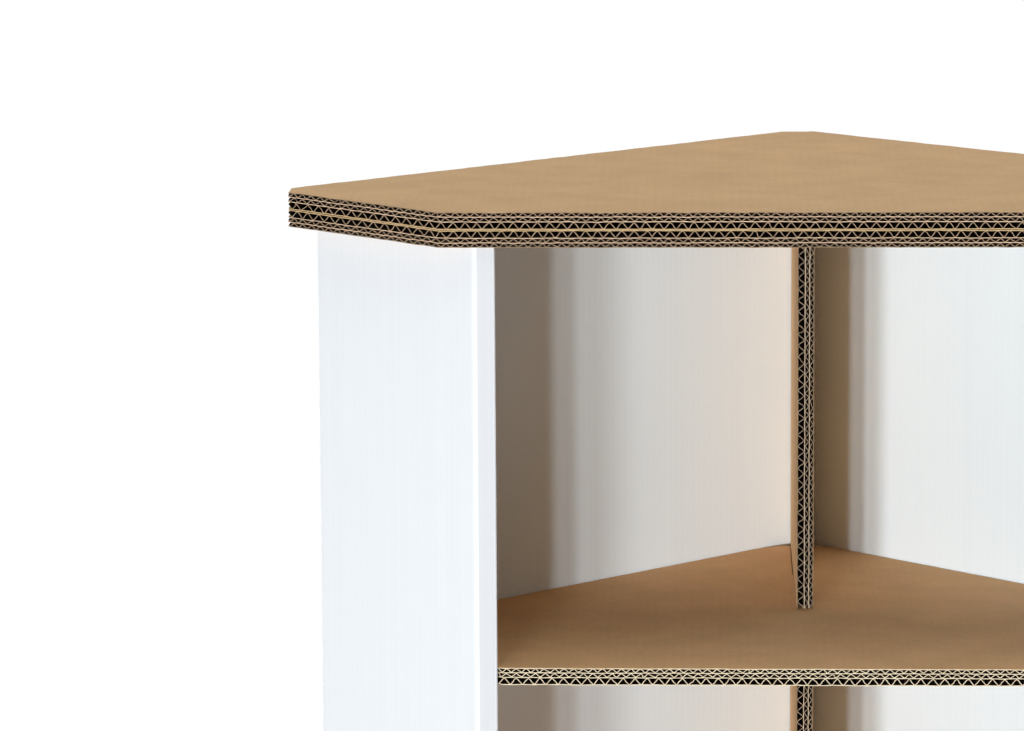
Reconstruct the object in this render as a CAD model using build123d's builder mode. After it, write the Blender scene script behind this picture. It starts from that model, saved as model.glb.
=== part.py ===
"""Corner sales counter of corrugated cardboard, open on the side where the seller stands.

A white sheet folds round the sides and the back. A divider and shelves of triple-wall board
cross-halve inside it, and two more boards, glued face to face, make the counter top.
Millimetres, +Z up, open front towards -Y, origin at the bottom centre.
"""

import os
from math import atan2, cos, sqrt

from build123d import *

# Counter top: a square with its front corner sawn off and its other corners clipped
top_side = 584.0
front_edge = 554.0
corner_clip = 27.0
side_overhang = 21.0
back_overhang = 25.0

# Triple-wall board: four liners, two rows of low flutes and one row of tall flutes
liner = 0.5
low_row = 3.1
tall_row = 5.3
tall_pitch = 8.95
medium = 0.5
low_row_setback = 1.5

# White double-wall sheet, folded back on itself at the front
wall_board = 6.5
wall_front = 4.0
flap_gap = 0.6
flap_end_gap = 1.0
side_fold_radius = 9.0
nose_fold_radius = 2.5
rear_fold_radius = 6.0
back_fold_radius = 10.5

# Inside
clear_height = 320.0
compartments = 3
shelf_front = 6.5
shelf_side_gap = 1.7
shelf_clip = 47.0
tab_width = 90.0
divider_front = 221.0
fit_gap = 0.5
slot_gap = 0.3

# Worked out from the sizes above
root2 = sqrt(2)
face_stack = 3 * liner + 2 * low_row
board = face_stack + tall_row + liner
storey = clear_height + board
wall_height = compartments * storey
half_front = front_edge / 2
half_width = top_side / root2
top_back = 2 * half_width - half_front
depth = top_back - corner_clip / 2
shelf_side_inset = side_overhang + 2 * wall_board + flap_gap + shelf_side_gap
shelf_back_inset = back_overhang + wall_board + fit_gap


def plan(x, y):
    """A point of the plan, from its distance behind the counter's front edge."""
    return (x, y - depth / 2)


def corners(side_inset, back_inset, front):
    """Right-hand corners of the plan set in from the top's edges: front, side and back."""
    side_line = half_front - side_inset * root2
    back_line = top_back - back_inset * root2
    side_x = (side_line + back_line) / 2
    return (side_line + front, front), (side_x, back_line - side_x), (0, back_line)


def mirrored(points):
    """A closed outline from its right-hand points, which run from the front to the back."""
    left = [(-x, y) for x, y in reversed(points) if x > 0]
    return [plan(x, y) for x, y in points + left]


inner_corners = corners(side_overhang + wall_board, back_overhang + wall_board, 0)
divider_back = inner_corners[2][1] - board / 2 - fit_gap
divider_middle = (divider_front + divider_back) / 2


def top_outline():
    """Outline of the counter top."""
    front, side, back = corners(0, 0, 0)
    cut = corner_clip / 2
    return mirrored([
        front,
        (side[0] - cut, side[1] - cut),
        (side[0] - cut, side[1] + cut),
        (cut, back[1] - cut),
    ])


def tab_middle():
    """Middle of a shelf's right-hand slanting edge, where its tab stands."""
    front, side, _ = corners(shelf_side_inset, shelf_back_inset, shelf_front)
    return (front[0] + side[0]) / 2, (front[1] + side[1]) / 2


def shelf_outline():
    """Outline of a shelf: tabs on its slanting sides, the divider's slot in its clipped corner."""
    front, side, back = corners(shelf_side_inset, shelf_back_inset, shelf_front)
    x, y = tab_middle()
    half_tab = tab_width / 2 / root2
    reach = (shelf_side_gap + wall_board) / root2
    half_clip = shelf_clip / 2
    half_slot = board / 2 + slot_gap
    return mirrored([
        front,
        (x - half_tab, y - half_tab),
        (x - half_tab + reach, y - half_tab - reach),
        (x + half_tab + reach, y + half_tab - reach),
        (x + half_tab, y + half_tab),
        side,
        (half_clip, back[1] - half_clip),
        (half_slot, back[1] - half_clip),
        (half_slot, divider_middle - fit_gap / 2),
    ])


def divider_outline():
    """Outline of the divider as (height, -y): notched at the front for every shelf."""
    front = -plan(0, divider_front)[1]
    middle = -plan(0, divider_middle + fit_gap / 2)[1]
    back = -plan(0, divider_back)[1]
    points = [(0, back), (0, middle), (board, middle), (board, front)]
    for level in range(1, compartments):
        low = level * storey
        high = low + board + slot_gap
        points += [(low, front), (low, middle), (high, middle), (high, front)]
    return points + [(wall_height, front), (wall_height, back)]


def triple_wall(outline, plane, tall_first, both_ways):
    """A board whose flutes run along the plane's y axis, with its waves along the x axis.

    The tall row is open right through: a cell under each wave, and one over it if both_ways.
    The two low rows stand back behind the edges of their liners.
    """
    layers = [(liner, 0), (low_row, low_row_setback)] * 2 + [(liner, 0), (tall_row, 0), (liner, 0)]
    row_level = face_stack
    if tall_first:
        layers = layers[::-1]
        row_level = liner
    half_pitch = tall_pitch / 2
    rise = medium / cos(atan2(tall_row, half_pitch)) / 2
    base = half_pitch * (1 - rise / tall_row)

    with BuildPart() as sheet:
        level = 0
        for thickness, setback in layers:
            with BuildSketch(plane.offset(level)):
                Polygon(*outline, align=None)
                if setback:
                    offset(amount=-setback, kind=Kind.INTERSECTION)
            extrude(amount=thickness)
            level += thickness

        ends = [x for x, _ in outline]
        first = int(min(ends) / tall_pitch) - 1
        last = int(max(ends) / tall_pitch) + 1
        section = Plane(
            plane.offset(row_level).origin, x_dir=plane.x_dir, z_dir=-plane.y_dir
        )
        with BuildSketch(section):
            with Locations(*[(wave * tall_pitch, 0) for wave in range(first, last + 1)]):
                Polygon((-base, 0), (base, 0), (0, tall_row - rise), align=None)
            if both_ways:
                with Locations(*[((wave + 0.5) * tall_pitch, 0) for wave in range(first, last)]):
                    Polygon((-base, tall_row), (0, rise), (base, tall_row), align=None)
        extrude(amount=2 * half_width, both=True, mode=Mode.SUBTRACT)
    return sheet.part


def slot_plane(hand, level):
    """Upright plane on a slanting side, 1 for the right or -1 for the left, facing outwards."""
    x, y = tab_middle()
    return Plane((*plan(hand * x, y), level), x_dir=(1, hand, 0), z_dir=(hand, -1, 0))


# Wall: inner flap, nose, side and back panel, and the same again past the back corner
flap_inset = side_overhang + wall_board + flap_gap
flap_end_inset = back_overhang + wall_board + flap_end_gap
outside = mirrored([
    corners(flap_inset + wall_board, flap_end_inset, 0)[1],
    corners(flap_inset + wall_board, 0, wall_front)[0],
    corners(side_overhang, 0, wall_front)[0],
    *corners(side_overhang, back_overhang, 0)[1:],
])
inside = mirrored([
    corners(flap_inset, flap_end_inset, 0)[1],
    corners(flap_inset, 0, wall_front + wall_board)[0],
    corners(side_overhang + wall_board, 0, wall_front + wall_board)[0],
    *inner_corners[1:],
])
side_radii = [nose_fold_radius, side_fold_radius, rear_fold_radius]
outer_radii = [*side_radii, back_fold_radius, *side_radii[::-1]]
inner_radii = [0, 0, 0, back_fold_radius - wall_board, 0, 0, 0]
with BuildPart() as wall:
    with BuildSketch():
        with BuildLine():
            outer = FilletPolyline(*outside, radius=outer_radii)
            inner = FilletPolyline(*inside, radius=inner_radii)
            Line(outer @ 0, inner @ 0)
            Line(outer @ 1, inner @ 1)
        make_face()
    extrude(amount=wall_height)
    # Slots in the flaps for the shelves' tabs
    for level in range(compartments):
        for hand in (-1, 1):
            with BuildSketch(slot_plane(hand, level * storey)):
                Rectangle(
                    tab_width + 2 * slot_gap, board + slot_gap, align=(Align.CENTER, Align.MIN)
                )
            extrude(amount=shelf_side_gap + wall_board + flap_gap / 2, mode=Mode.SUBTRACT)
wall.part.label = "wall"

# Shelves: the lowest is the base board, which lies on the floor
with BuildPart() as base_board:
    add(triple_wall(shelf_outline(), Plane.XY, True, False))
base_board.part.label = "base_board"

with BuildPart() as lower_shelf:
    with Locations((0, 0, storey)):
        add(base_board.part)
lower_shelf.part.label = "lower_shelf"

with BuildPart() as upper_shelf:
    with Locations((0, 0, 2 * storey)):
        add(base_board.part)
upper_shelf.part.label = "upper_shelf"

# Divider: it stands on the base board and holds the shelves in its notches
with BuildPart() as divider:
    upright = Plane((-board / 2, 0, 0), x_dir=(0, 0, 1), z_dir=(1, 0, 0))
    add(triple_wall(divider_outline(), upright, True, False))
divider.part.label = "divider"

# Counter top: two boards from one cut, their tall rows face to face
with BuildPart() as top_board_lower:
    add(triple_wall(top_outline(), Plane.XY.offset(wall_height), False, True))
top_board_lower.part.label = "top_board_lower"

with BuildPart() as top_board_upper:
    add(mirror(top_board_lower.part, about=Plane.XY.offset(wall_height + board)))
top_board_upper.part.label = "top_board_upper"

os.makedirs("parts", exist_ok=True)
pieces = (wall, base_board, lower_shelf, upper_shelf, divider, top_board_lower, top_board_upper)
for piece in pieces:
    export_step(piece.part, f"parts/{piece.part.label}.step")
    box = piece.part.bounding_box()
    print(piece.part.label, round(piece.part.volume), box.min, box.max)
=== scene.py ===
"""Corner sales counter of corrugated cardboard, dressed round its packed construction.

Metres, +Z up, open front towards -Y, origin at the bottom centre. Every board is made of its
real layers, liners and wavy mediums, and the white sheet is folded from one strip.
"""

from math import asin, cos, floor, hypot, pi, radians, sin, sqrt, tan

import bmesh
import bpy
from bpy.props import FloatProperty, FloatVectorProperty, IntProperty, PointerProperty
from bpy.types import Operator, Panel, PropertyGroup
from mathutils import Matrix, Vector, noise


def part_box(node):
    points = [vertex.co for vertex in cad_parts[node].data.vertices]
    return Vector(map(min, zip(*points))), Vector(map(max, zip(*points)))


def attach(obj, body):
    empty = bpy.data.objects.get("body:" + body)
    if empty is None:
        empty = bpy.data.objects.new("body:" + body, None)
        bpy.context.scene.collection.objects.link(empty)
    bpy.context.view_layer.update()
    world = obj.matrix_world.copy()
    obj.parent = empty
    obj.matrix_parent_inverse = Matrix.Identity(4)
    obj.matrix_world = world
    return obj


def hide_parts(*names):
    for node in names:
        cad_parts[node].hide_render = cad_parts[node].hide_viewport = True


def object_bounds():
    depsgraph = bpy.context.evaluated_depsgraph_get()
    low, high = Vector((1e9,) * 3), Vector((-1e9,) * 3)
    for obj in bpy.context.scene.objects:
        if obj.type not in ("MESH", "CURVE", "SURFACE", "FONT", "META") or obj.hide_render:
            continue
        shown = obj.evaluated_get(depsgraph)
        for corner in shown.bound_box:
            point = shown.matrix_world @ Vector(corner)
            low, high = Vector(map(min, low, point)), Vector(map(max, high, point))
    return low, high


bl_info = {
    "name": "Cardboard Corner Counter",
    "version": (1, 0, 0),
    "blender": (4, 5, 0),
    "location": "View3D > Sidebar > Counter",
    "description": "Builds a corner sales counter from layered corrugated board",
    "category": "Object",
}

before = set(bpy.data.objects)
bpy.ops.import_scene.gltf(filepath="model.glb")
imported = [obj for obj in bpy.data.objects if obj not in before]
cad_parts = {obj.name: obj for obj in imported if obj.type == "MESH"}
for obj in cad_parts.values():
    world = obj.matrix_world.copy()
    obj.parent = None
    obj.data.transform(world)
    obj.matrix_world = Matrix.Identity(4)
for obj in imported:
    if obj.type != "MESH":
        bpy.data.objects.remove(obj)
cad_low, cad_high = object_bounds()
ROOT2 = sqrt(2)
TOP_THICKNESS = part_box("top_board_upper")[1].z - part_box("top_board_upper")[0].z
WALL_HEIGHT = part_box("wall")[1].z
TOP_DEPTH = cad_high.y - cad_low.y

# Points nearer than this are one point, and points nearer than this to a plane lie on it.
SAME_POINT = 1e-6
ON_PLANE = 1e-7
# Slots of the white sheet's papers: outer, inner, cut edges, and the front strips, which are
# painted greyer as shade.
PRINTED, PLAIN, CUT_EDGE, SHADED_FRONT = range(4)
SHELVES = ("base_board", "lower_shelf", "upper_shelf")


class CounterPlan(PropertyGroup):
    """Sizes of the counter seen from above."""

    top_side: FloatProperty(
        name="Top Side",
        description="Side of the square that the top is sawn from",
        default=0.584,
        unit="LENGTH",
    )
    front_edge: FloatProperty(
        name="Front Edge",
        description="Length of the sawn front edge",
        default=0.554,
        unit="LENGTH",
    )
    corner_clip: FloatProperty(
        name="Corner Clip",
        description="Flat across each of the top's other corners",
        default=0.027,
        unit="LENGTH",
    )
    side_overhang: FloatProperty(
        name="Side Overhang",
        description="How far the top stands out over the sides",
        default=0.021,
        unit="LENGTH",
    )
    back_overhang: FloatProperty(
        name="Back Overhang",
        description="How far the top stands out over the back panels",
        default=0.025,
        unit="LENGTH",
    )
    shelf_front: FloatProperty(
        name="Shelf Front",
        description="Shelf's front edge behind the top's front edge",
        default=0.0065,
        unit="LENGTH",
    )
    shelf_side_gap: FloatProperty(
        name="Shelf Side Gap",
        description="Clearance between a shelf's slanting side and the flap beside it",
        default=0.0017,
        unit="LENGTH",
    )
    shelf_round: FloatProperty(
        name="Shelf Round",
        description="Radius that softens the ends of a shelf's clipped back corner",
        default=0.036,
        unit="LENGTH",
    )
    shelf_clip: FloatProperty(
        name="Shelf Clip",
        description="Flat across a shelf's back corner",
        default=0.047,
        unit="LENGTH",
    )
    divider_front: FloatProperty(
        name="Divider Front",
        description="Divider's front edge behind the top's front edge",
        default=0.221,
        unit="LENGTH",
    )
    tab_width: FloatProperty(
        name="Tab Width",
        description="Width of the tab on each side of a shelf",
        default=0.09,
        unit="LENGTH",
    )
    fit_gap: FloatProperty(
        name="Fit Gap",
        description="Clearance between the shelves, the divider and the wall",
        default=0.0005,
        unit="LENGTH",
    )
    slot_gap: FloatProperty(
        name="Slot Gap",
        description="Clearance on each side of a board in its slot",
        default=0.0003,
        unit="LENGTH",
    )


class BoardSizes(PropertyGroup):
    """Sizes of the triple-wall board and of its cut edges."""

    liner: FloatProperty(
        name="Liner",
        description="Thickness of a liner",
        default=0.0005,
        unit="LENGTH",
    )
    low_row: FloatProperty(
        name="Low Row",
        description="Height of a row of low flutes",
        default=0.0031,
        unit="LENGTH",
    )
    low_pitch: FloatProperty(
        name="Low Pitch",
        description="Length of one low wave",
        default=0.0072,
        unit="LENGTH",
    )
    tall_pitch: FloatProperty(
        name="Tall Pitch",
        description="Length of one tall wave",
        default=0.00895,
        unit="LENGTH",
    )
    sharpness: FloatProperty(
        name="Sharpness",
        description="0 gives round waves and 1 gives straight flanks with sharp crests",
        default=0.94,
        min=0.1,
        max=0.999,
    )
    wave_steps: IntProperty(
        name="Wave Steps",
        description="Faces along one wave",
        default=10,
        min=4,
    )
    fringe: FloatProperty(
        name="Fringe",
        description="Depth of the disturbed paper at a cut edge",
        default=0.0022,
        unit="LENGTH",
    )
    roughness: FloatProperty(
        name="Cut Roughness",
        description="How far the saw leaves the paper uneven",
        default=0.00022,
        unit="LENGTH",
    )
    grain: FloatProperty(
        name="Grain",
        description="Size of the fibres that stand out unevenly at a cut edge",
        default=0.00037,
        unit="LENGTH",
    )
    crush: FloatProperty(
        name="Crush",
        description="How far the saw presses the outer liners in at a cut edge",
        default=0.0003,
        unit="LENGTH",
    )
    swelling: FloatProperty(
        name="Swelling",
        description="Thickness of the paper at a cut edge, as a multiple of the liner",
        default=1.2,
    )
    medium_share: FloatProperty(
        name="Medium Share",
        description="Thickness of a cleanly cut medium as a share of the liner",
        default=0.6,
    )
    torn_share: FloatProperty(
        name="Torn Share",
        description="Share of the waves that are bent or torn at a cut edge",
        default=0.07,
    )
    seed: IntProperty(
        name="Seed",
        description="Another number gives other uneven cut edges",
        default=7,
    )


class WallSizes(PropertyGroup):
    """Sizes of the white folded sheet."""

    board: FloatProperty(
        name="Board",
        description="Thickness of the white double-wall sheet",
        default=0.0065,
        unit="LENGTH",
    )
    front: FloatProperty(
        name="Wall Front",
        description="Wall's front face behind the top's front edge",
        default=0.004,
        unit="LENGTH",
    )
    flap_gap: FloatProperty(
        name="Flap Gap",
        description="Gap between a side and its inner flap",
        default=0.0006,
        unit="LENGTH",
    )
    flap_end_gap: FloatProperty(
        name="Flap End Gap",
        description="Gap between an inner flap's end and the back panel",
        default=0.001,
        unit="LENGTH",
    )
    nose_fold: FloatProperty(
        name="Nose Fold",
        description="Radius of the fold between the front and the inner flap",
        default=0.0025,
        unit="LENGTH",
    )
    side_fold: FloatProperty(
        name="Side Fold",
        description="Radius of the fold between the front and the side",
        default=0.009,
        unit="LENGTH",
    )
    rear_fold: FloatProperty(
        name="Rear Fold",
        description="Radius of the fold between the side and the back panel",
        default=0.006,
        unit="LENGTH",
    )
    back_fold: FloatProperty(
        name="Back Fold",
        description="Radius of the fold at the back corner",
        default=0.0105,
        unit="LENGTH",
    )
    crease: FloatProperty(
        name="Crease",
        description="Radius left on the inner side of a sharp fold",
        default=0.0004,
        unit="LENGTH",
    )
    fold_steps: IntProperty(
        name="Fold Steps",
        description="Faces round one fold",
        default=9,
        min=3,
    )
    support: FloatProperty(
        name="Support",
        description="Narrow flat beside each fold, which keeps the panel's shading even",
        default=0.002,
        unit="LENGTH",
    )
    flute_pitch: FloatProperty(
        name="Flute Pitch",
        description="Spacing of the flutes that show faintly through the white paper",
        default=0.0066,
        unit="LENGTH",
    )


class PaperColours(PropertyGroup):
    """Colours of the papers."""

    kraft: FloatVectorProperty(
        name="Kraft",
        description="Face of the kraft board",
        subtype="COLOR",
        size=3,
        default=(0.515, 0.328, 0.171),
    )
    # Painted light: the same kraft as the top, coloured lighter to stand for more light on the
    # shelves' and the divider's faces.
    shelf_kraft_painted_light: FloatVectorProperty(
        name="Shelf Kraft",
        description="Face of the shelves' board, which is a little lighter",
        subtype="COLOR",
        size=3,
        default=(0.685, 0.408, 0.196),
    )
    # Painted shade: the paper inside the flutes is brown kraft, coloured near-black to stand for
    # the shadow deep in the cells.
    flute_painted_shade: FloatVectorProperty(
        name="Dark Kraft",
        description="Paper inside the flutes",
        subtype="COLOR",
        size=3,
        default=(0.04, 0.016, 0.009),
    )
    shelf_cut: FloatVectorProperty(
        name="Shelf Cut",
        description="Pale fibres at the cut edges of the shelves",
        subtype="COLOR",
        size=3,
        default=(0.92, 0.69, 0.47),
    )
    top_cut: FloatVectorProperty(
        name="Top Cut",
        description="Browner fibres at the cut edges of the counter top",
        subtype="COLOR",
        size=3,
        default=(0.70, 0.475, 0.305),
    )
    divider_cut: FloatVectorProperty(
        name="Divider Cut",
        description="Fibres at the cut edges of the divider",
        subtype="COLOR",
        size=3,
        default=(0.64, 0.475, 0.33),
    )
    # The cut ends of the outer liners are coloured darker and browner than the other cut ends.
    worn_rim: FloatVectorProperty(
        name="Worn Rim",
        description="Cut ends of the outer liners, which the saw leaves browner",
        subtype="COLOR",
        size=3,
        default=(0.26, 0.17, 0.095),
    )
    glued_rim: FloatVectorProperty(
        name="Glued Rim",
        description="Cut ends of the two liners that are glued together in the counter top",
        subtype="COLOR",
        size=3,
        default=(0.70, 0.47, 0.235),
    )
    # Painted shade: the narrow front strips are the same outer paper as the sides, coloured greyer
    # to stand for the shade on them.
    shaded_front_white: FloatVectorProperty(
        name="Front White",
        description="Narrow front strips of the white sheet, which are a little greyer",
        subtype="COLOR",
        size=3,
        default=(0.64, 0.61, 0.615),
    )
    printed: FloatVectorProperty(
        name="Printed White",
        description="Outer face of the white sheet",
        subtype="COLOR",
        size=3,
        default=(0.82, 0.79, 0.795),
    )
    # Painted light: the inner face is coloured lighter and bluer than the outer one, to stand for
    # more light, and bluer light, on the walls of the bays.
    white: FloatVectorProperty(
        name="White",
        description="Inner face of the white sheet",
        subtype="COLOR",
        size=3,
        default=(0.895, 0.95, 0.995),
    )


class StageSettings(PropertyGroup):
    """Camera, lamps and floor."""

    lens: FloatProperty(
        name="Lens", description="Focal length in millimetres", default=170.75
    )
    sensor_width: FloatProperty(
        name="Sensor Width", description="Width of the camera's sensor in millimetres", default=36
    )
    camera_place: FloatVectorProperty(
        name="Camera Place",
        description="Where the camera stands",
        subtype="XYZ",
        size=3,
        default=(-0.079, -3.8355, 1.4869),
    )
    camera_yaw: FloatProperty(
        name="Yaw", description="Turn to the left", subtype="ANGLE", default=radians(2.312)
    )
    camera_pitch: FloatProperty(
        name="Pitch", description="Tilt downwards", subtype="ANGLE", default=radians(9.140)
    )
    camera_roll: FloatProperty(
        name="Roll", description="Turn about the view", subtype="ANGLE", default=radians(-0.3565)
    )
    sky_level: FloatProperty(
        name="Sky Level",
        description="Light from all round, where 1 shows a colour as it is written",
        default=0.13,
    )
    sky_colour: FloatVectorProperty(
        name="Sky Colour",
        description="Colour of the light from all round",
        subtype="COLOR",
        size=3,
        default=(0.72, 0.92, 1.0),
    )
    overhead_level: FloatProperty(
        name="Overhead Level",
        description="Light of the soft lamp above, on the counter's top",
        default=1.38,
    )
    overhead_height: FloatProperty(
        name="Overhead Height",
        description="Height of the soft lamp above the counter's top",
        default=1.8,
        unit="LENGTH",
    )
    overhead_size: FloatProperty(
        name="Overhead Size",
        description="Side of the soft lamp above",
        default=2.4,
        unit="LENGTH",
    )
    rear_place: FloatVectorProperty(
        name="Rear Place",
        description="Where the right-hand soft lamp behind the counter stands",
        subtype="XYZ",
        size=3,
        default=(2.3, 2.3, 0.6),
    )
    rear_size: FloatProperty(
        name="Rear Size",
        description="Side of each soft lamp behind the counter",
        default=1.6,
        unit="LENGTH",
    )
    rear_level: FloatProperty(
        name="Rear Level",
        description="Light of the two soft lamps behind the counter, on its back panels",
        default=0.65,
    )
    cone: FloatProperty(
        name="Cone",
        description="Full angle of the small lamps' cones, which keeps them off the near floor",
        subtype="ANGLE",
        default=radians(38),
    )
    cone_softness: FloatProperty(
        name="Cone Softness",
        description="Share of a cone over which its light fades out",
        default=0.35,
    )
    lamp_colour: FloatVectorProperty(
        name="Lamp Colour",
        description="Colour of the three small lamps",
        subtype="COLOR",
        size=3,
        default=(0.885, 0.96, 1.0),
    )
    far_place: FloatVectorProperty(
        name="Far Place",
        description="Where the furthest small lamp stands",
        subtype="XYZ",
        size=3,
        default=(-0.90, -6.17, 1.03),
    )
    far_radius: FloatProperty(
        name="Far Radius",
        description="Radius of the furthest small lamp",
        default=0.095,
        unit="LENGTH",
    )
    far_level: FloatProperty(
        name="Far Level",
        description="Light of the furthest small lamp",
        default=0.235,
    )
    middle_place: FloatVectorProperty(
        name="Middle Place",
        description="Where the smallest lamp stands",
        subtype="XYZ",
        size=3,
        default=(-0.97, -4.77, 1.03),
    )
    middle_radius: FloatProperty(
        name="Middle Radius",
        description="Radius of the smallest lamp, which gives the sharpest shadow",
        default=0.065,
        unit="LENGTH",
    )
    middle_level: FloatProperty(
        name="Middle Level",
        description="Light of the smallest lamp",
        default=0.235,
    )
    wide_place: FloatVectorProperty(
        name="Wide Place",
        description="Where the widest of the small lamps stands",
        subtype="XYZ",
        size=3,
        default=(-1.31, -4.63, 1.03),
    )
    wide_radius: FloatProperty(
        name="Wide Radius",
        description="Radius of the widest small lamp, which gives the softest shadow",
        default=0.19,
        unit="LENGTH",
    )
    wide_level: FloatProperty(
        name="Wide Level",
        description="Light of the widest small lamp",
        default=0.425,
    )
    floor_radius: FloatProperty(
        name="Floor Radius", description="Radius of the floor", default=40, unit="LENGTH"
    )


def settings(name):
    """One of the property groups of this counter."""
    return getattr(bpy.context.scene, name)


class Wire:
    """An output socket that takes part in sums, where every operator adds its Math node."""

    def __init__(self, tree, socket):
        self.tree = tree
        self.socket = socket

    def math(self, operation, *values):
        """The result of a Math node on wires and numbers."""
        node = self.tree.nodes.new("ShaderNodeMath")
        node.operation = operation
        for place, value in zip(node.inputs, values):
            plug(self.tree, place, value)
        return Wire(self.tree, node.outputs[0])

    def __add__(self, other):
        return self.math("ADD", self, other)

    __radd__ = __add__

    def __mul__(self, other):
        return self.math("MULTIPLY", self, other)

    __rmul__ = __mul__


def plug(tree, place, value):
    """Links a wire to a socket, or sets the socket's own number or colour."""
    if isinstance(value, Wire):
        tree.links.new(value.socket, place)
    else:
        place.default_value = value


class Paper:
    """A material under construction, with its Principled shader."""

    def __init__(self, name, **numbers):
        self.material = bpy.data.materials.new(name)
        self.material.use_nodes = True
        self.tree = self.material.node_tree
        self.shader = self.tree.nodes["Principled BSDF"]
        for socket, value in numbers.items():
            self.shader.inputs[socket.replace("_", " ")].default_value = value

    def node(self, kind, options=None, inputs=None, output=0):
        """Any node: its options are set first, then the values or links of its sockets."""
        node = self.tree.nodes.new(kind)
        for option, value in (options or {}).items():
            setattr(node, option, value)
        for socket, value in (inputs or {}).items():
            plug(self.tree, node.inputs[socket], value)
        return Wire(self.tree, node.outputs[output])

    def ramp(self, factor, *stops):
        """A grey ramp through (place, level) stops."""
        node = self.tree.nodes.new("ShaderNodeValToRGB")
        band = node.color_ramp
        while len(band.elements) < len(stops):
            band.elements.new(0.5)
        for element, (place, level) in zip(band.elements, stops):
            element.position = place
            element.color = (level, level, level, 1)
        plug(self.tree, node.inputs["Fac"], factor)
        return Wire(self.tree, node.outputs["Color"])

    def mix(self, factor, first, second):
        """A colour between two others, through the Mix node's numbered colour sockets."""
        colours = [c if isinstance(c, Wire) else (*c, 1) for c in (first, second)]
        return self.node(
            "ShaderNodeMix",
            {"data_type": "RGBA"},
            {0: factor, 6: colours[0], 7: colours[1]},
            output=2,
        )

    def noise(self, place, scale, detail=2.0, stretch=(1, 1, 1)):
        """Noise in the given coordinates, as a number from 0 to 1."""
        sized = self.node(
            "ShaderNodeMapping", {}, {"Vector": place, "Scale": [s * scale for s in stretch]}
        )
        return self.node(
            "ShaderNodeTexNoise", {}, {"Vector": sized, "Scale": 1.0, "Detail": detail}
        )

    def bump(self, height):
        """Leads a height in metres into the shader's normal."""
        normal = self.node(
            "ShaderNodeBump", {}, {"Height": height, "Distance": 1.0, "Strength": 1.0}
        )
        plug(self.tree, self.shader.inputs["Normal"], normal)

    def colour(self, wire):
        """Leads a colour into the shader."""
        plug(self.tree, self.shader.inputs["Base Color"], wire)


def shade(colour, factor):
    """A colour made lighter or darker."""
    return tuple(min(1.0, c * factor) for c in colour)


def shared(name, make, *details):
    """A material of several pieces: the one that is there already, or a new one."""
    return bpy.data.materials.get(name) or make(name, *details)


def kraft_paper(name, across, colour):
    """Face of the kraft board: mottled fibres and the faint stripes of the flutes below, ridges in
    the bump with their painted shade in the colour.

    across is 0, 1 or 2, the axis that the flutes' stripes follow one another along.
    """
    cloud_scale, fibre_scale, fleck_scale = 22, 900, 620
    fibre_stretch = 0.35
    cloud_share, fibre_share, stripe_shade_share = 0.45, 0.55, 0.012
    dark_tone, pale_tone = 0.86, 1.13
    fleck_strength, fleck_tone = 0.35, 0.55
    stripe_height, fibre_height = 0.00002, 0.00006

    pitch = settings("board_sizes").low_pitch
    paper = Paper(name, Roughness=0.82, IOR=1.35)
    place = paper.node("ShaderNodeTexCoord", output="Object")
    along = [1.0, 1.0, 1.0]
    along[across] = fibre_stretch
    clouds = paper.noise(place, cloud_scale, detail=3)
    fibres = paper.noise(place, fibre_scale, detail=4, stretch=along)
    flecks = paper.noise(place, fleck_scale, detail=2, stretch=along)
    flecks = paper.ramp(flecks, (0.66, 0), (0.74, 1))
    axis = paper.node("ShaderNodeSeparateXYZ", {}, {0: place}, output=across)
    stripes = axis.math("SINE", axis * (2 * pi / pitch))
    # The flutes' stripes in the tone are painted shade of the washboard ridges.
    tone = clouds * cloud_share + fibres * fibre_share + stripes * stripe_shade_share
    tone = paper.ramp(tone, (0.28, 0), (0.72, 1))
    body = paper.mix(tone, shade(colour, dark_tone), shade(colour, pale_tone))
    body = paper.mix(flecks * fleck_strength, body, shade(colour, fleck_tone))
    paper.colour(body)
    paper.bump(stripes * stripe_height + fibres * fibre_height)
    return paper.material


def flute_paper(name):
    """Paper inside the flutes, coloured near-black: painted shade of the deep cells, over brown
    kraft.
    """
    fibre_scale, fibre_height = 700, 0.00005
    dark_tone, pale_tone = 0.7, 1.3

    colour = settings("paper_colours").flute_painted_shade
    paper = Paper(name, Roughness=0.9, IOR=1.3)
    place = paper.node("ShaderNodeTexCoord", output="Object")
    fibres = paper.noise(place, fibre_scale, detail=3)
    paper.colour(paper.mix(fibres, shade(colour, dark_tone), shade(colour, pale_tone)))
    paper.bump(fibres * fibre_height)
    return paper.material


def cut_paper(name, colour):
    """Torn fibres on the cut ends of liners and mediums."""
    patch_scale, fibre_scale = 240, 1500
    patch_share, fibre_share = 0.6, 0.4
    dark_tone, pale_tone = 0.66, 1.18
    fibre_height = 0.0002

    paper = Paper(name, Roughness=0.95, IOR=1.3)
    place = paper.node("ShaderNodeTexCoord", output="Object")
    patches = paper.noise(place, patch_scale, detail=2)
    fibres = paper.noise(place, fibre_scale, detail=3)
    tone = paper.ramp(patches * patch_share + fibres * fibre_share, (0.3, 0), (0.7, 1))
    paper.colour(paper.mix(tone, shade(colour, dark_tone), shade(colour, pale_tone)))
    paper.bump(fibres * fibre_height)
    return paper.material


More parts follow.
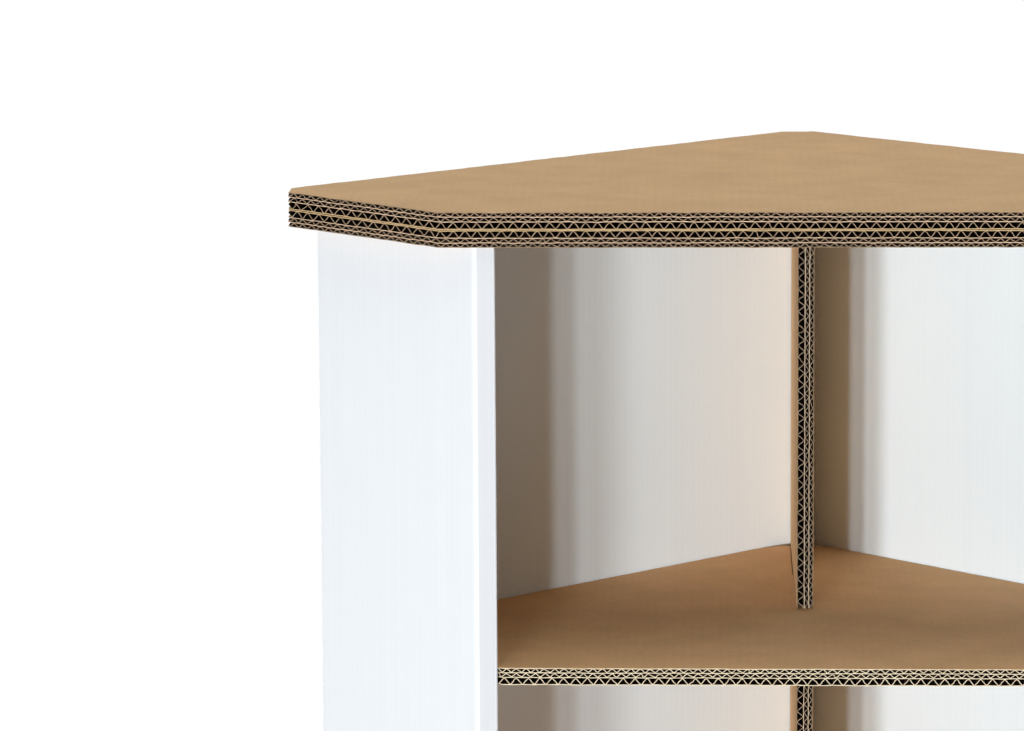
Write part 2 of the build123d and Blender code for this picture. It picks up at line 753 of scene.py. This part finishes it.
def white_paper(name, colour):
    """White paper over upright flutes, which show as faint stripes and long bands along the sheet:
    ridges in the bump, with their painted shade in the colour.
    """
    wobble_scale, wobble_width = 9, 0.002
    band_scale, fibre_scale, cloud_scale = 70, 650, 30
    stripe_shade_share, band_shade_share, fibre_share, cloud_share = 0.05, 0.4, 0.35, 0.25
    dark_tone, pale_tone = 0.978, 1.02
    stripe_height, band_height, fibre_height = 0.000012, 0.00006, 0.00003

    pitch = settings("wall_sizes").flute_pitch
    paper = Paper(name, Roughness=0.62, IOR=1.4)
    place = paper.node("ShaderNodeTexCoord", output="Object")
    length = paper.node("ShaderNodeUVMap", {"uv_map": "sheet"})
    along = paper.node("ShaderNodeSeparateXYZ", {}, {0: length}, output="X")
    wobble = paper.noise(length, wobble_scale, detail=1, stretch=(1, 0.3, 1))
    stripes = along.math("SINE", (along + wobble * wobble_width) * (2 * pi / pitch))
    bands = paper.noise(length, band_scale, detail=2, stretch=(1, 0.02, 1))
    fibres = paper.noise(place, fibre_scale, detail=4)
    clouds = paper.noise(place, cloud_scale, detail=3)
    # Stripes and long bands in the tone are painted shade of the sheet's faint waviness over its
    # flutes.
    tone = (
        stripes * stripe_shade_share
        + bands * band_shade_share
        + fibres * fibre_share
        + clouds * cloud_share
    )
    tone = paper.ramp(tone, (0.3, 0), (0.7, 1))
    paper.colour(paper.mix(tone, shade(colour, dark_tone), shade(colour, pale_tone)))
    paper.bump(stripes * stripe_height + bands * band_height + fibres * fibre_height)
    return paper.material


def corners(side_inset, back_inset, front):
    """Right-hand corners of the plan set in from the top's edges: front, side and back."""
    plan = settings("counter_plan")
    side_line = plan.front_edge / 2 - side_inset * ROOT2
    back_line = plan.top_side * ROOT2 - plan.front_edge / 2 - back_inset * ROOT2
    side_x = (side_line + back_line) / 2
    return (side_line + front, front), (side_x, back_line - side_x), (0, back_line)


def mirrored(points):
    """A closed outline from its right-hand points, with y measured from the counter's middle."""
    right = [(x, y - TOP_DEPTH / 2) for x, y in points]
    return right + [(-x, y) for x, y in reversed(right) if x > 0]


def wall_corners():
    """Right-hand corners of the room inside the wall: front, side and back."""
    plan = settings("counter_plan")
    board = settings("wall_sizes").board
    return corners(plan.side_overhang + board, plan.back_overhang + board, 0)


def divider_span():
    """Divider's back edge and its halfway line, behind the top's front edge."""
    plan = settings("counter_plan")
    back = wall_corners()[2][1] - TOP_THICKNESS / 2 - plan.fit_gap
    return back, (plan.divider_front + back) / 2


def shelf_insets():
    """How far a shelf stands in from the top's side and back edges."""
    plan = settings("counter_plan")
    wall = settings("wall_sizes")
    side = plan.side_overhang + 2 * wall.board + wall.flap_gap + plan.shelf_side_gap
    return side, plan.back_overhang + wall.board + plan.fit_gap


def slot_span(node):
    """Heights of the slot that a board stands in: the board's own, with clearance above."""
    low, high = (corner.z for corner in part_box(node))
    return low, high + settings("counter_plan").slot_gap


def top_outline():
    """Outline of the counter top."""
    cut = settings("counter_plan").corner_clip / 2
    front, side, back = corners(0, 0, 0)
    rear = (side[0] - cut, side[1] + cut)
    return mirrored([front, (side[0] - cut, side[1] - cut), rear, (cut, back[1] - cut)])


def tab_middle():
    """Middle of a shelf's right-hand slanting edge, where its tab stands."""
    front, side, _ = corners(*shelf_insets(), settings("counter_plan").shelf_front)
    return (front[0] + side[0]) / 2, (front[1] + side[1]) / 2


def fold_path(points, radii, steps, support):
    """Points of a strip's line through corners rounded by arcs, each arc between two supports."""
    path = [Vector(points[0])]
    for before, here, after, radius in zip(points, points[1:], points[2:], radii):
        corner = Vector(here)
        back = (Vector(before) - corner).normalized()
        ahead = (Vector(after) - corner).normalized()
        turn = pi - back.angle(ahead)
        reach = radius * tan(turn / 2)
        centre = corner + (back + ahead).normalized() * hypot(radius, reach)
        path.append(corner + back * (reach + support))
        start = corner + back * reach - centre
        side = 1 if back.cross(ahead) < 0 else -1
        for step in range(steps + 1):
            spin = Matrix.Rotation(side * turn * step / steps, 2)
            path.append(centre + spin @ start)
        path.append(corner + ahead * (reach + support))
    path.append(Vector(points[-1]))
    return path


def corner_arc(before, corner, after, radius):
    """Points of the arc that rounds one corner of an outline."""
    steps = 4
    path = fold_path([before, corner, after], [radius], steps, 0)
    # With no support, both supports repeat the arc's ends.
    return path[2:-2]


def shelf_outline():
    """Outline of a shelf: tabs on its slanting sides, the divider's slot in its clipped corner."""
    plan = settings("counter_plan")
    front, side, back = corners(*shelf_insets(), plan.shelf_front)
    x, y = tab_middle()
    half_tab = plan.tab_width / 2 / ROOT2
    reach = (plan.shelf_side_gap + settings("wall_sizes").board) / ROOT2
    half_clip = plan.shelf_clip / 2
    half_slot = TOP_THICKNESS / 2 + plan.slot_gap
    clip = (half_clip, back[1] - half_clip)
    slot = (half_slot, back[1] - half_clip)
    arc = corner_arc(side, clip, slot, plan.shelf_round)
    divider_middle = divider_span()[1]
    return mirrored([
        front,
        (x - half_tab, y - half_tab),
        (x - half_tab + reach, y - half_tab - reach),
        (x + half_tab + reach, y + half_tab - reach),
        (x + half_tab, y + half_tab),
        side,
        *arc,
        slot,
        (half_slot, divider_middle - plan.fit_gap / 2),
    ])


def divider_outline():
    """Outline of the divider as (height, -y): notched at the front for every shelf."""
    plan = settings("counter_plan")
    divider_back, divider_middle = divider_span()
    front = TOP_DEPTH / 2 - plan.divider_front
    middle = TOP_DEPTH / 2 - divider_middle - plan.fit_gap / 2
    back = TOP_DEPTH / 2 - divider_back
    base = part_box("base_board")[1].z
    points = [(0, back), (0, middle), (base, middle), (base, front)]
    for shelf in SHELVES[1:]:
        low, high = slot_span(shelf)
        points += [(low, front), (low, middle), (high, middle), (high, front)]
    points += [(WALL_HEIGHT, front), (WALL_HEIGHT, back)]
    # Listed clockwise above, and given anticlockwise as the other outlines are.
    return points[::-1]


def inside(outline, x, y):
    """Whether a point lies within an outline."""
    found = False
    for (ax, ay), (bx, by) in zip(outline, outline[1:] + outline[:1]):
        if (ay > y) != (by > y) and x < ax + (bx - ax) * (y - ay) / (by - ay):
            found = not found
    return found


def inset(outline, distance):
    """An outline, run through anticlockwise, with every edge moved inwards."""
    moved = []
    for before, here, after in zip(outline[-1:] + outline, outline, outline[1:] + outline[:1]):
        first = Vector((here[0] - before[0], here[1] - before[1])).normalized()
        second = Vector((after[0] - here[0], after[1] - here[1])).normalized()
        turn = first.cross(second)
        normal = Vector((-first.y, first.x))
        along = (1 - first.dot(second)) / turn
        moved.append((
            here[0] + distance * (normal.x - first.x * along),
            here[1] + distance * (normal.y - first.y * along),
        ))
    return moved


def cut_plane(sheet, faces, point, normal):
    """Cuts some faces of a sheet where a plane crosses them."""
    edges = dict.fromkeys(edge for face in faces for edge in face.edges)
    verts = dict.fromkeys(vert for face in faces for vert in face.verts)
    bmesh.ops.bisect_plane(
        sheet, geom=[*verts, *edges, *faces], dist=ON_PLANE, plane_co=point, plane_no=normal
    )


def cut_along(sheet, outline):
    """Cuts a sheet whose faces run along y where each edge of an outline crosses them."""
    margin = 1e-5
    for (ax, ay), (bx, by) in zip(outline, outline[1:] + outline[:1]):
        low, high = min(ax, bx) - margin, max(ax, bx) + margin
        faces = [
            face
            for face in sheet.faces
            if min(v.co.x for v in face.verts) <= high and max(v.co.x for v in face.verts) >= low
        ]
        cut_plane(sheet, faces, (ax, ay, 0), (by - ay, ax - bx, 0))


def row_sheet(outline, level, pitch, height):
    """One layer of a board as a bare sheet: a medium with waves, or a liner if height is 0."""
    sizes = settings("board_sizes")
    steps = sizes.wave_steps if height else 1
    left = min(x for x, _ in outline)
    right = max(x for x, _ in outline)
    near = min(y for _, y in outline) - pitch
    far = max(y for _, y in outline) + pitch
    spare = 2
    first = int(left / pitch) - spare
    waves = int(right / pitch) + spare - first

    sheet = bmesh.new()
    chain = []
    for step in range(steps + 1):
        turn = 2 * pi * step / steps
        swing = asin(sizes.sharpness * sin(turn)) / asin(sizes.sharpness)
        place = ((first + step / steps) * pitch, near, level + height / 2 * swing)
        chain.append(sheet.verts.new(place))
    edges = [sheet.edges.new(pair) for pair in zip(chain, chain[1:])]
    strip = bmesh.ops.extrude_edge_only(sheet, edges=edges)["geom"]
    ends = [item for item in strip if isinstance(item, bmesh.types.BMVert)]
    bmesh.ops.translate(sheet, verts=ends, vec=(0, far - near, 0))
    bmesh.ops.spin(
        sheet,
        geom=[*sheet.verts, *sheet.edges, *sheet.faces],
        axis=(0, 0, 1),
        dvec=(pitch, 0, 0),
        angle=0,
        steps=waves,
        use_duplicate=True,
    )
    bmesh.ops.remove_doubles(sheet, verts=sheet.verts, dist=SAME_POINT)

    cut_along(sheet, inset(outline, sizes.fringe))
    cut_along(sheet, outline)
    outside = []
    for face in sheet.faces:
        middle = face.calc_center_median()
        if not inside(outline, middle.x, middle.y):
            outside.append(face)
    bmesh.ops.delete(sheet, geom=outside, context="FACES")
    bmesh.ops.recalc_face_normals(sheet, faces=sheet.faces)
    return sheet


def roughen(sheet, draw, torn, crush):
    """Leaves a sheet's cut edges uneven and pressed in, with a few waves bent aside.

    Chance comes from the draw's number and a place or a wave, so each run gives the same.
    """
    # No vertex stands where one wave's number ends, so rounding can't change a number.
    numbering_start = 0.47
    upright_share = 0.6
    middle_of_cell = 0.5
    sizes = settings("board_sizes")
    bend = sizes.low_pitch / 4
    left = min(vert.co.x for vert in sheet.verts)
    right = max(vert.co.x for vert in sheet.verts)
    for vert in sheet.verts:
        if not vert.is_boundary:
            continue
        wave = floor(vert.co.x / sizes.low_pitch + numbering_start)
        middle = wave * sizes.low_pitch
        near_end = min(middle - left, right - middle) < sizes.low_pitch
        cell = (wave + middle_of_cell, draw + middle_of_cell, middle_of_cell)
        chance, aside, up = noise.cell_vector(cell)
        reach = bend if chance < torn and not near_end else sizes.roughness
        shift = Vector(((2 * aside - 1) * reach, 0, (up - 0.5) * sizes.roughness))
        grain = noise.cell_vector(vert.co / sizes.grain + Vector((draw, 0, 0)))
        uneven = 2 * grain - Vector((1, 1, 1))
        uneven.z *= upright_share
        vert.co += shift + uneven * sizes.roughness
        vert.co.z += crush


def triple_wall(name, outline, place, tall_first, seed, papers, medium_share):
    """A board whose flutes run along y: four liners and three wavy mediums, in one mesh.

    papers are the materials of its faces, of the first liner's cut ends, of the last liner's
    and of the other cut ends. In the list of slots a layer's upper side is followed by its cut
    ends, and its lower side comes four slots further on, or in the last one.
    """
    sizes = settings("board_sizes")
    tall_row = TOP_THICKNESS - 4 * sizes.liner - 2 * sizes.low_row
    low, tall = (sizes.low_row, sizes.low_pitch), (tall_row, sizes.tall_pitch)
    rows = (tall, low, low) if tall_first else (low, low, tall)
    # Set in by what the fraying adds, so that the board stays within its outline.
    outline = inset(outline, sizes.roughness * 2)
    board = bmesh.new()
    material = board.faces.layers.int.new("paper")
    weight = board.verts.layers.deform.verify()

    level = sizes.liner / 2
    layers = [(level, sizes.low_pitch, 0)]
    for height, pitch in rows:
        middle = level + (height + sizes.liner) / 2
        layers.append((middle, pitch, height - sizes.liner))
        level += height + sizes.liner
        layers.append((level, sizes.low_pitch, 0))
    proud = sizes.liner * (sizes.swelling - 1) / 2
    for number, (level, pitch, height) in enumerate(layers):
        inwards = (number == 0) - (number == len(layers) - 1)
        level += inwards * proud
        sheet = row_sheet(outline, level, pitch, height)
        if sum(face.normal.z for face in sheet.faces) < 0:
            bmesh.ops.reverse_faces(sheet, faces=sheet.faces)
        draw = (sizes.seed + seed) * len(layers) + number
        roughen(sheet, draw, sizes.torn_share if height else 0, inwards * sizes.crush)
        layer_mesh = bpy.data.meshes.new("layer")
        sheet.to_mesh(layer_mesh)
        sheet.free()
        face_count, vert_count = len(board.faces), len(board.verts)
        board.from_mesh(layer_mesh)
        bpy.data.meshes.remove(layer_mesh)
        board.faces.ensure_lookup_table()
        board.verts.ensure_lookup_table()
        share = medium_share if height else 1
        for vert in board.verts[vert_count:]:
            vert[weight][0] = share if vert.is_boundary else share / sizes.swelling
        for face in board.faces[face_count:]:
            face[material] = 2 * (1 - inwards)
            face.smooth = bool(height)
    for face in board.faces:
        face.material_index = face[material]
    board.transform(place)

    mesh = bpy.data.meshes.new(name)
    board.to_mesh(mesh)
    board.free()
    piece = bpy.data.objects.new(name, mesh)
    bpy.context.scene.collection.objects.link(piece)
    # The paper inside the flutes is painted near-black: painted shade of the deep cells.
    shaded_flute = shared("flute_paper", flute_paper)
    face_paper, first_rim, last_rim, cut_ends = papers
    for paper in (shaded_flute, first_rim, shaded_flute, cut_ends, face_paper, last_rim, shaded_flute):
        mesh.materials.append(paper)
    piece.vertex_groups.new(name="paper_thickness")
    paper_thickness = piece.modifiers.new("paper", "SOLIDIFY")
    paper_thickness.thickness = sizes.liner * sizes.swelling
    paper_thickness.offset = 0
    paper_thickness.vertex_group = "paper_thickness"
    paper_thickness.material_offset = 4
    paper_thickness.material_offset_rim = 1
    return piece


def wall_lines():
    """Both faces of the folded sheet in plan, from the right-hand flap's end to the left's."""
    plan = settings("counter_plan")
    wall = settings("wall_sizes")
    flap = plan.side_overhang + wall.board + wall.flap_gap
    flap_end = plan.back_overhang + wall.board + wall.flap_end_gap
    printed = mirrored([
        corners(flap + wall.board, flap_end, 0)[1],
        corners(flap + wall.board, 0, wall.front)[0],
        corners(plan.side_overhang, 0, wall.front)[0],
        *corners(plan.side_overhang, plan.back_overhang, 0)[1:],
    ])
    plain = mirrored([
        corners(flap, flap_end, 0)[1],
        corners(flap, 0, wall.front + wall.board)[0],
        corners(plan.side_overhang + wall.board, 0, wall.front + wall.board)[0],
        *wall_corners()[1:],
    ])
    folds = [wall.nose_fold, wall.side_fold, wall.rear_fold]
    creases = [wall.crease] * len(folds)
    return (
        fold_path(printed, [*folds, wall.back_fold, *folds[::-1]], wall.fold_steps, wall.support),
        fold_path(
            plain,
            [*creases, wall.back_fold - wall.board, *creases],
            wall.fold_steps,
            wall.support,
        ),
    )


def cut_slots(sheet):
    """Cuts the slots for the shelves' tabs through both flaps of the wall."""
    plan = settings("counter_plan")
    wall = settings("wall_sizes")
    x, y = tab_middle()
    y -= TOP_DEPTH / 2
    half_slot = plan.tab_width / 2 + plan.slot_gap
    reach = plan.shelf_side_gap + wall.board + wall.flap_gap / 2
    for hand in (1, -1):
        along = Vector((hand, 1, 0)).normalized()
        outwards = Vector((hand, -1, 0)).normalized()
        middle = Vector((hand * x, y, 0))

        def on_flap(face):
            """Whether a face belongs to this hand's flap."""
            away = (face.calc_center_median() - middle).dot(outwards)
            return 0 < away < reach

        for end in (-half_slot, half_slot):
            flap = [face for face in sheet.faces if on_flap(face)]
            cut_plane(sheet, flap, middle + along * end, along)
        for node in SHELVES:
            low, high = slot_span(node)
            slot = [
                face
                for face in sheet.faces
                if on_flap(face)
                and abs((face.calc_center_median() - middle).dot(along)) < half_slot
                and low - SAME_POINT < face.calc_center_median().z < high
            ]
            rim = dict.fromkeys(edge for face in slot for edge in face.edges)
            bmesh.ops.delete(sheet, geom=slot, context="FACES_ONLY")
            loose = [edge for edge in rim if not edge.link_faces]
            rim = [edge for edge in rim if edge.link_faces]
            across = [
                edge
                for edge in rim
                if abs((edge.verts[0].co - edge.verts[1].co).dot(outwards)) > wall.board / 2
            ]
            bmesh.ops.delete(sheet, geom=loose, context="EDGES")
            bmesh.ops.bridge_loops(sheet, edges=[edge for edge in rim if edge not in across])


def folded_sheet():
    """The white sheet: both faces of its plan as one strip, drawn up to its height."""
    sharp_fold = radians(40)
    shaded_front_turn = radians(12)
    sheet = bmesh.new()
    run = sheet.verts.layers.float.new("run")
    side = sheet.verts.layers.int.new("side")
    printed, plain = wall_lines()
    chain = []
    length = 0
    for number, place in enumerate(printed):
        if number:
            length += (place - printed[number - 1]).length
        chain.append(sheet.verts.new((*place, 0)))
        chain[-1][run] = length
    edges = [sheet.edges.new(pair) for pair in zip(chain, chain[1:])]
    strip = bmesh.ops.extrude_edge_only(sheet, edges=edges)["geom"]
    for vert, place in zip(chain, plain):
        twin = next(
            edge.other_vert(vert) for edge in vert.link_edges if edge.other_vert(vert) in strip
        )
        twin.co = (*place, 0)
        twin[side] = PLAIN
    upper = bmesh.ops.extrude_face_region(
        sheet, geom=[*sheet.faces], use_keep_orig=True
    )["geom"]
    raised = [item for item in upper if isinstance(item, bmesh.types.BMVert)]
    bmesh.ops.translate(sheet, verts=raised, vec=(0, 0, WALL_HEIGHT))
    for node in SHELVES:
        for level in slot_span(node):
            cut_plane(sheet, sheet.faces, (0, 0, level), (0, 0, 1))
    cut_slots(sheet)
    bmesh.ops.recalc_face_normals(sheet, faces=sheet.faces)
    along = sheet.loops.layers.uv.new("sheet")
    for face in sheet.faces:
        sides = {vert[side] for vert in face.verts}
        face.material_index = sides.pop() if len(sides) == 1 else CUT_EDGE
        # Faces turned to the front take the greyer front paper: painted shade on the narrow front
        # strips.
        if face.material_index == PRINTED and face.normal.y < -cos(shaded_front_turn):
            face.material_index = SHADED_FRONT
        face.smooth = True
        for loop in face.loops:
            loop[along].uv = (loop.vert[run], loop.vert.co.z)
    for edge in sheet.edges:
        edge.smooth = edge.calc_face_angle(0) < sharp_fold
    return sheet


class COUNTER_OT_wall(Operator):
    """Fold the white sheet round the counter: flaps, sides and back panels"""

    bl_idname = "counter.wall"
    bl_label = "White Wall"

    def execute(self, context):
        colours = settings("paper_colours")
        sheet = folded_sheet()
        mesh = bpy.data.meshes.new("wall_sheet")
        sheet.to_mesh(mesh)
        sheet.free()
        # The inner paper is painted lighter and bluer as light in the bays, and the front paper
        # greyer as shade.
        papers = {
            PRINTED: white_paper("printed_paper", colours.printed),
            PLAIN: white_paper("white_liner_painted_light", colours.white),
            CUT_EDGE: shared("shelf_cut", cut_paper, colours.shelf_cut),
            SHADED_FRONT: white_paper("shaded_front_paper", colours.shaded_front_white),
        }
        for slot in sorted(papers):
            mesh.materials.append(papers[slot])
        piece = bpy.data.objects.new("wall_sheet", mesh)
        context.scene.collection.objects.link(piece)
        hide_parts("wall")
        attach(piece, "root")
        return {"FINISHED"}


class COUNTER_OT_shelves(Operator):
    """Cut the base board and the two shelves"""

    bl_idname = "counter.shelves"
    bl_label = "Shelves"

    def execute(self, context):
        colours = settings("paper_colours")
        # The shelves take the kraft that is painted lighter than the top's: painted light.
        face = kraft_paper("shelf_paper_painted_light", 0, colours.shelf_kraft_painted_light)
        cut = shared("shelf_cut", cut_paper, colours.shelf_cut)
        papers = (face, cut, cut, cut)
        for seed, node in enumerate(SHELVES):
            place = Matrix.Translation((0, 0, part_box(node)[0].z))
            name = node + "_layers"
            piece = triple_wall(name, shelf_outline(), place, True, seed, papers, 1.0)
            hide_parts(node)
            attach(piece, "root")
        return {"FINISHED"}


class COUNTER_OT_divider(Operator):
    """Cut the upright divider"""

    bl_idname = "counter.divider"
    bl_label = "Divider"

    def execute(self, context):
        colours = settings("paper_colours")
        dark_rim = shared("worn_rim", cut_paper, colours.worn_rim)
        cut = cut_paper("divider_cut", colours.divider_cut)
        # The divider's faces take the shelves' kraft, painted lighter as light on them.
        papers = (kraft_paper("divider_paper_painted_light", 2, colours.shelf_kraft_painted_light), dark_rim, dark_rim, cut)
        turn = Matrix(((0, 0, 1, 0), (0, -1, 0, 0), (1, 0, 0, 0), (0, 0, 0, 1)))
        place = Matrix.Translation((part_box("divider")[0].x, 0, 0)) @ turn
        share = settings("board_sizes").medium_share
        name = "divider_layers"
        piece = triple_wall(name, divider_outline(), place, True, 3, papers, share)
        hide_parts("divider")
        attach(piece, "root")
        return {"FINISHED"}


class COUNTER_OT_top(Operator):
    """Cut the two boards of the counter top"""

    bl_idname = "counter.top"
    bl_label = "Counter Top"

    def execute(self, context):
        colours = settings("paper_colours")
        face = kraft_paper("top_paper", 0, colours.kraft)
        dark_rim = shared("worn_rim", cut_paper, colours.worn_rim)
        glued = cut_paper("glued_rim", colours.glued_rim)
        cut = cut_paper("top_cut", colours.top_cut)
        share = settings("board_sizes").medium_share
        for seed, node in enumerate(("top_board_lower", "top_board_upper")):
            place = Matrix.Translation((0, 0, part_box(node)[0].z))
            upper = node == "top_board_upper"
            papers = (face, glued, dark_rim, cut) if upper else (face, dark_rim, glued, cut)
            name = node + "_layers"
            piece = triple_wall(name, top_outline(), place, upper, 4 + seed, papers, share)
            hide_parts(node)
            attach(piece, "root")
        return {"FINISHED"}


def lamp_power(level, distance):
    """Power in watts of a small lamp that lights a face at a distance to a given level."""
    return 4 * pi * pi * distance**2 * level


def hang_lamp(data, place, aim_height):
    """Hangs a lamp so that it faces the counter's axis, and gives its distance from there."""
    lamp = bpy.data.objects.new(data.name, data)
    away = Vector(place) - Vector((0, 0, aim_height))
    lamp.rotation_euler = away.to_track_quat("Z", "Y").to_euler()
    lamp.location = place
    bpy.context.scene.collection.objects.link(lamp)
    return away.length


def small_lamp(name, place, radius, level):
    """A small round lamp aimed at the counter, at the level that it gives there."""
    stage = settings("stage_settings")
    data = bpy.data.lights.new(name, "SPOT")
    data.energy = lamp_power(level, Vector(place).length)
    data.shadow_soft_size = radius
    data.spot_size = stage.cone
    data.spot_blend = stage.cone_softness
    data.color = stage.lamp_colour
    hang_lamp(data, place, cad_high.z / 2)


def soft_lamp(name, place, aim_height, size, level):
    """A large square lamp that faces the counter's axis, at the level straight in front of it."""
    data = bpy.data.lights.new(name, "AREA")
    data.shape = "SQUARE"
    data.size = size
    distance = hang_lamp(data, place, aim_height)
    data.energy = pi * pi * level * distance**2


def make_world(level, colour):
    """Even light from all round, which the camera sees as white."""
    world = bpy.data.worlds.new("studio")
    bpy.context.scene.world = world
    world.use_nodes = True
    tree = world.node_tree
    tree.nodes.clear()
    output = tree.nodes.new("ShaderNodeOutputWorld")
    mix = tree.nodes.new("ShaderNodeMixShader")
    rays = tree.nodes.new("ShaderNodeLightPath")
    light = tree.nodes.new("ShaderNodeBackground")
    light.inputs["Color"].default_value = (*colour, 1)
    light.inputs["Strength"].default_value = level
    backdrop = tree.nodes.new("ShaderNodeBackground")
    backdrop.inputs["Color"].default_value = (1, 1, 1, 1)
    tree.links.new(rays.outputs["Is Camera Ray"], mix.inputs["Fac"])
    tree.links.new(light.outputs[0], mix.inputs[1])
    tree.links.new(backdrop.outputs[0], mix.inputs[2])
    tree.links.new(mix.outputs[0], output.inputs["Surface"])


def floor_material():
    """Pale floor that keeps the counter's shadow nearby and turns white further off."""
    pale = 0.86
    # Metres from the counter: a ramp reads 0 to 1, so they are divided by the span.
    span, shadow_radius, white_radius = 10, 0.9, 2.4
    paper = Paper("floor", Roughness=0.9)
    paper.shader.inputs["Base Color"].default_value = (pale, pale, pale, 1)
    place = paper.node("ShaderNodeTexCoord", output="Object")
    distance = paper.node(
        "ShaderNodeVectorMath", {"operation": "LENGTH"}, {0: place}, output="Value"
    )
    stops = (shadow_radius / span, 0), (white_radius / span, 1)
    far = paper.ramp(distance * (1 / span), *stops)
    seen = paper.node("ShaderNodeLightPath", output="Is Camera Ray")
    glow = paper.node("ShaderNodeEmission", {}, {"Strength": 1.0})
    mixed = paper.node("ShaderNodeMixShader", {}, {0: far * seen, 2: glow})
    mixer = mixed.socket.node
    paper.tree.links.new(paper.shader.outputs[0], mixer.inputs[1])
    output = paper.tree.nodes["Material Output"]
    paper.tree.links.new(mixed.socket, output.inputs["Surface"])
    return paper.material


class COUNTER_OT_stage(Operator):
    """Set the floor, the lamps and the camera"""

    bl_idname = "counter.stage"
    bl_label = "Stage"

    def execute(self, context):
        stage = settings("stage_settings")
        plate = bmesh.new()
        steps = 96
        bmesh.ops.create_circle(plate, cap_ends=True, segments=steps, radius=stage.floor_radius)
        mesh = bpy.data.meshes.new("floor")
        plate.to_mesh(mesh)
        plate.free()
        mesh.materials.append(floor_material())
        floor = bpy.data.objects.new("floor", mesh)
        context.scene.collection.objects.link(floor)

        make_world(stage.sky_level, stage.sky_colour)
        small_lamp("far_lamp", stage.far_place, stage.far_radius, stage.far_level)
        small_lamp("middle_lamp", stage.middle_place, stage.middle_radius, stage.middle_level)
        small_lamp("wide_lamp", stage.wide_place, stage.wide_radius, stage.wide_level)
        place = (0, 0, cad_high.z + stage.overhead_height)
        size = stage.overhead_size
        soft_lamp("overhead_lamp", place, cad_high.z, size, stage.overhead_level)
        x, y, z = stage.rear_place
        rear_aim = 0.5
        for hand, name in ((-1, "rear_left_lamp"), (1, "rear_right_lamp")):
            soft_lamp(name, (hand * x, y, z), rear_aim, stage.rear_size, stage.rear_level)

        lens = bpy.data.cameras.new("camera")
        lens.sensor_width = stage.sensor_width
        lens.lens = stage.lens
        camera = bpy.data.objects.new("camera", lens)
        camera.matrix_world = (
            Matrix.Translation(stage.camera_place)
            @ Matrix.Rotation(stage.camera_yaw, 4, "Z")
            @ Matrix.Rotation(pi / 2 - stage.camera_pitch, 4, "X")
            @ Matrix.Rotation(stage.camera_roll, 4, "Z")
        )
        context.scene.collection.objects.link(camera)
        context.scene.camera = camera
        context.scene.view_settings.view_transform = "Standard"
        return {"FINISHED"}


class COUNTER_PT_pieces(Panel):
    """Lists the steps that build the counter"""

    bl_idname = "COUNTER_PT_pieces"
    bl_label = "Corner Counter"
    bl_space_type = "VIEW_3D"
    bl_region_type = "UI"
    bl_category = "Counter"

    def draw(self, context):
        for step in STEPS:
            self.layout.operator(step.bl_idname)


GROUPS = {
    "counter_plan": CounterPlan,
    "board_sizes": BoardSizes,
    "wall_sizes": WallSizes,
    "paper_colours": PaperColours,
    "stage_settings": StageSettings,
}
STEPS = (
    COUNTER_OT_wall,
    COUNTER_OT_shelves,
    COUNTER_OT_divider,
    COUNTER_OT_top,
    COUNTER_OT_stage,
)


def register():
    for part in (*GROUPS.values(), *STEPS, COUNTER_PT_pieces):
        bpy.utils.register_class(part)
    for name, group in GROUPS.items():
        setattr(bpy.types.Scene, name, PointerProperty(type=group))


def unregister():
    for name in GROUPS:
        delattr(bpy.types.Scene, name)
    for part in reversed((*GROUPS.values(), *STEPS, COUNTER_PT_pieces)):
        bpy.utils.unregister_class(part)


def main():
    """Builds the counter step by step."""
    register()
    bpy.ops.counter.wall()
    bpy.ops.counter.shelves()
    bpy.ops.counter.divider()
    bpy.ops.counter.top()
    bpy.ops.counter.stage()


if __name__ == "__main__":
    main()
